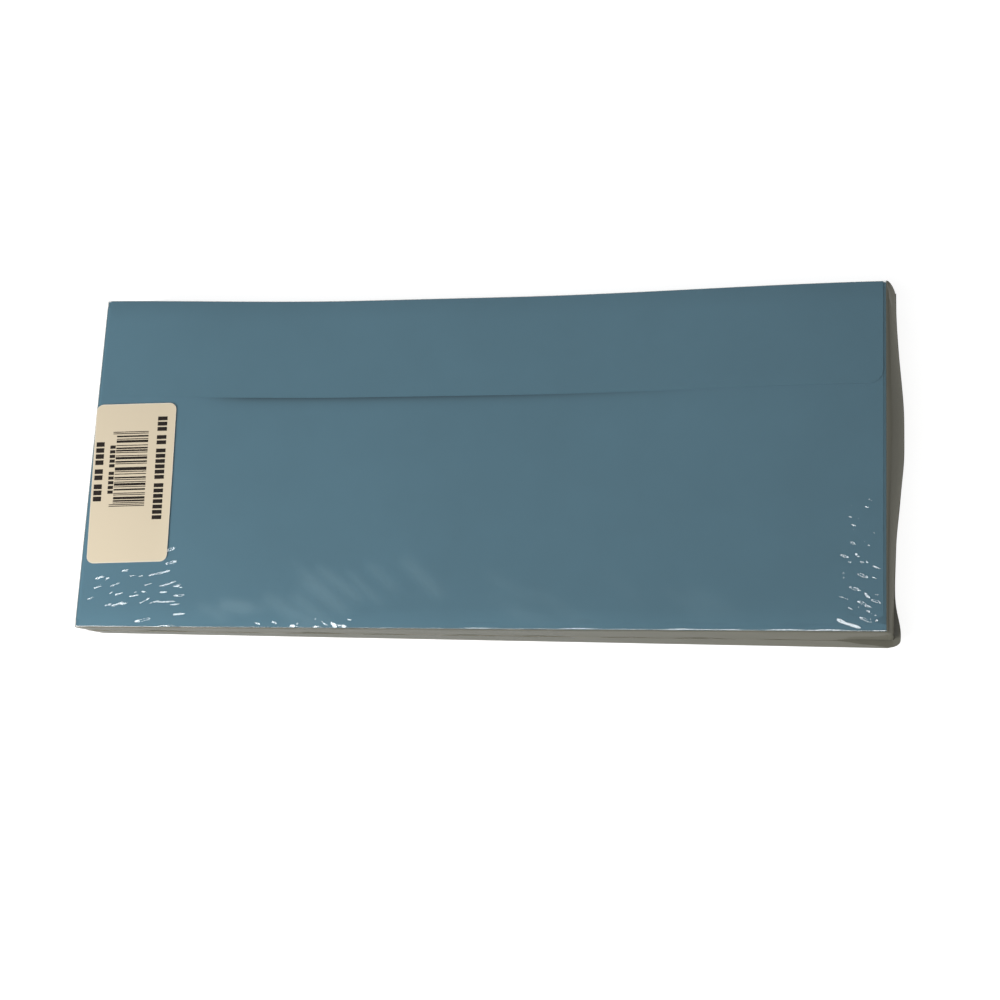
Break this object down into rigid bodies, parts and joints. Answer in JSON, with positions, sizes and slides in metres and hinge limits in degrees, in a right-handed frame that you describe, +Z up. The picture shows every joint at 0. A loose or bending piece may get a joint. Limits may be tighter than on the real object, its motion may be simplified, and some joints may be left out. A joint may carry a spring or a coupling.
{
  "type": "pack of paper envelopes",
  "caption": "Flat stack of long blue commercial envelopes, flap side up, sealed in clear shrink film with a plain printed paper label near one end.",
  "frame": {"origin": "on the underside of the film, below the centre of the uppermost envelope", "axes": "+X along the envelopes' length, away from the label; +Y to the folded edge of the seal flaps; +Z up, out of the flap side"},
  "size_m": [0.2491, 0.1112, 0.0222],
  "materials": {
    "envelope_paper": "matte, uncoated, dyed blue",
    "clear_film": "clear and glossy, with shrink wrinkles",
    "label_paper": "smooth cream label stock",
    "label_ink": "thin dark print"
  },
  "bodies": {
    "root": {"envelope_01": "envelope_paper", "envelope_02": "envelope_paper", "envelope_03": "envelope_paper", "envelope_04": "envelope_paper", "envelope_05": "envelope_paper", "envelope_06": "envelope_paper", "envelope_07": "envelope_paper", "envelope_08": "envelope_paper", "envelope_09": "envelope_paper", "envelope_10": "envelope_paper", "envelope_11": "envelope_paper", "envelope_12": "envelope_paper", "envelope_13": "envelope_paper", "envelope_14": "envelope_paper", "envelope_15": "envelope_paper", "envelope_16": "envelope_paper", "envelope_17": "envelope_paper", "envelope_18": "envelope_paper", "envelope_19": "envelope_paper", "envelope_20": "envelope_paper", "envelope_21": "envelope_paper", "envelope_22": "envelope_paper", "envelope_23": "envelope_paper", "envelope_24": "envelope_paper", "envelope_25": "envelope_paper", "envelope_26": "envelope_paper", "envelope_27": "envelope_paper", "envelope_28": "envelope_paper", "envelope_29": "envelope_paper", "envelope_30": "envelope_paper", "envelope_31": "envelope_paper", "envelope_32": "envelope_paper", "envelope_33": "envelope_paper", "envelope_34": "envelope_paper", "envelope_35": "envelope_paper", "envelope_36": "envelope_paper", "envelope_37": "envelope_paper", "envelope_38": "envelope_paper", "envelope_39": "envelope_paper", "envelope_40": "envelope_paper", "envelope_41": "envelope_paper", "envelope_42": "envelope_paper", "envelope_43": "envelope_paper", "envelope_44": "envelope_paper", "envelope_45": "envelope_paper", "envelope_46": "envelope_paper", "envelope_47": "envelope_paper", "envelope_48": "envelope_paper", "envelope_49": "envelope_paper", "envelope_50": "envelope_paper", "shrink_film": "clear_film", "label": "label_paper", "label_print": "label_ink"}
  },
  "joints": []
}
